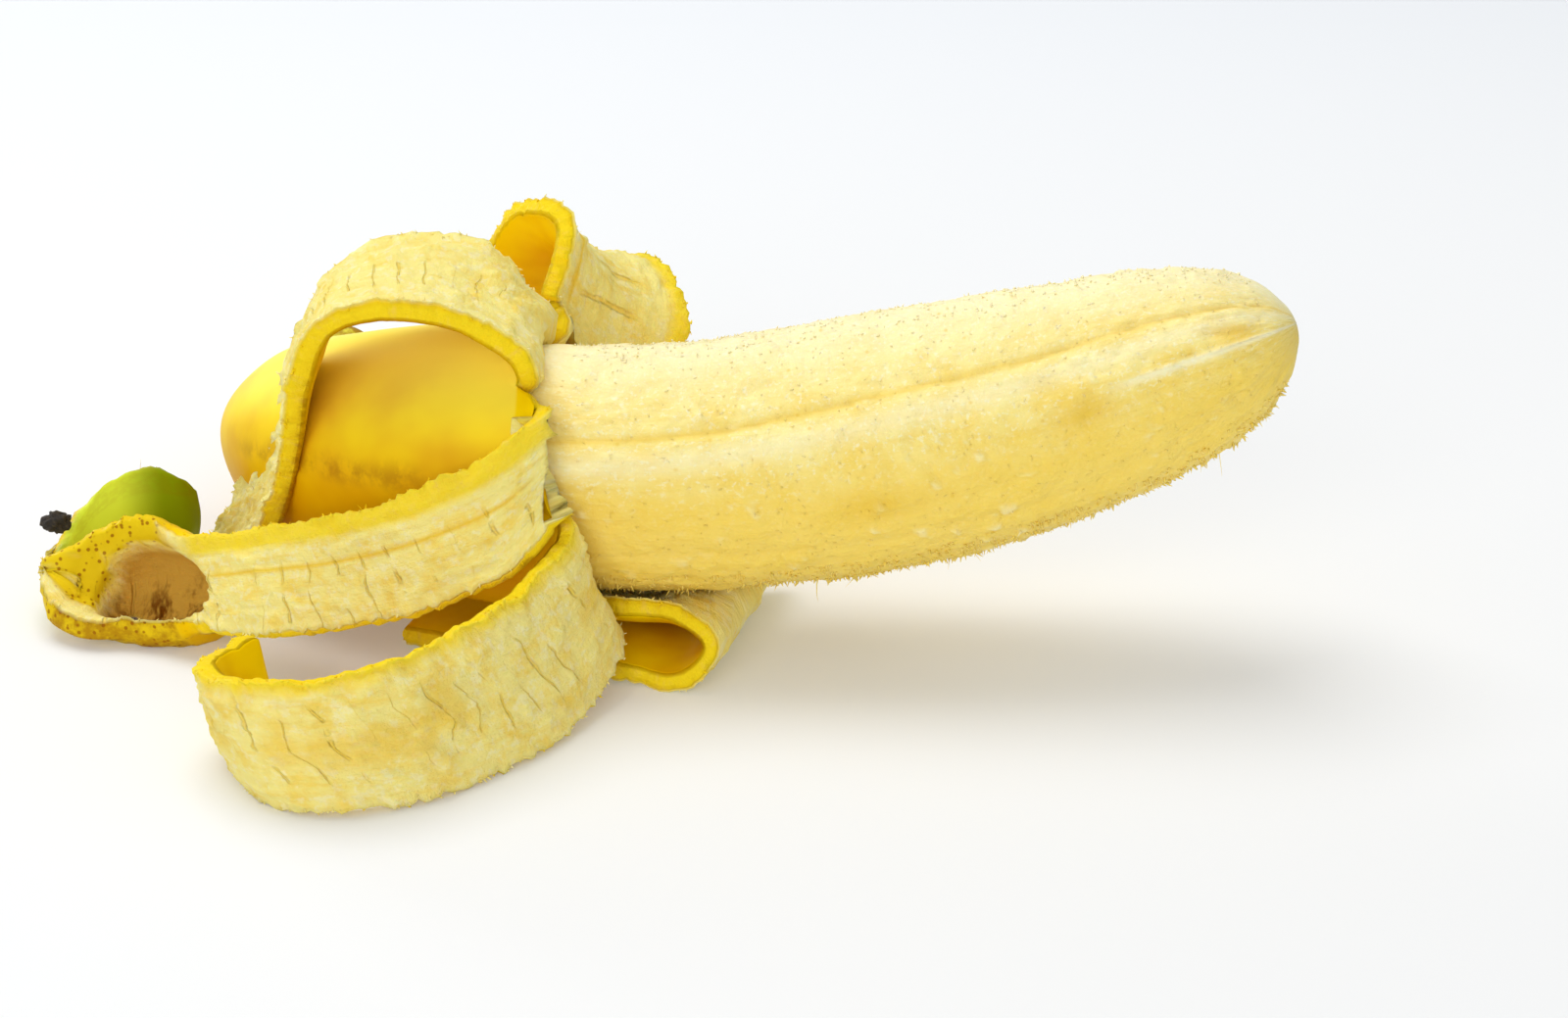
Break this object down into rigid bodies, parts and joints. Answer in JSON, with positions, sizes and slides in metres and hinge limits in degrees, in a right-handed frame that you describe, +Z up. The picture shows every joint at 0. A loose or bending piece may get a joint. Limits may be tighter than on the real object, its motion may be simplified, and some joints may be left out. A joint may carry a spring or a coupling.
{
  "type": "peeled banana",
  "caption": "Half-peeled banana lying on its side: pale curved flesh bare towards its tip, the peel folded back in looping strips around the unpeeled base.",
  "frame": {"origin": "bottom centre of the fruit's box, on the surface it lies on", "axes": "+X from the unpeeled base towards the bare tip of the flesh, +Y towards the side the stem end bends to, +Z up"},
  "size_m": [0.1672, 0.1336, 0.0532],
  "materials": {
    "flesh": "moist, pale cream yellow fruit flesh",
    "peel": "satin yellow skin outside, pale fibrous pith inside, green at the tip",
    "blossom_nib": "dry, nearly black"
  },
  "bodies": {
    "root": {"flesh": "flesh", "peel": "peel", "blossom_nib": "blossom_nib"}
  },
  "joints": []
}
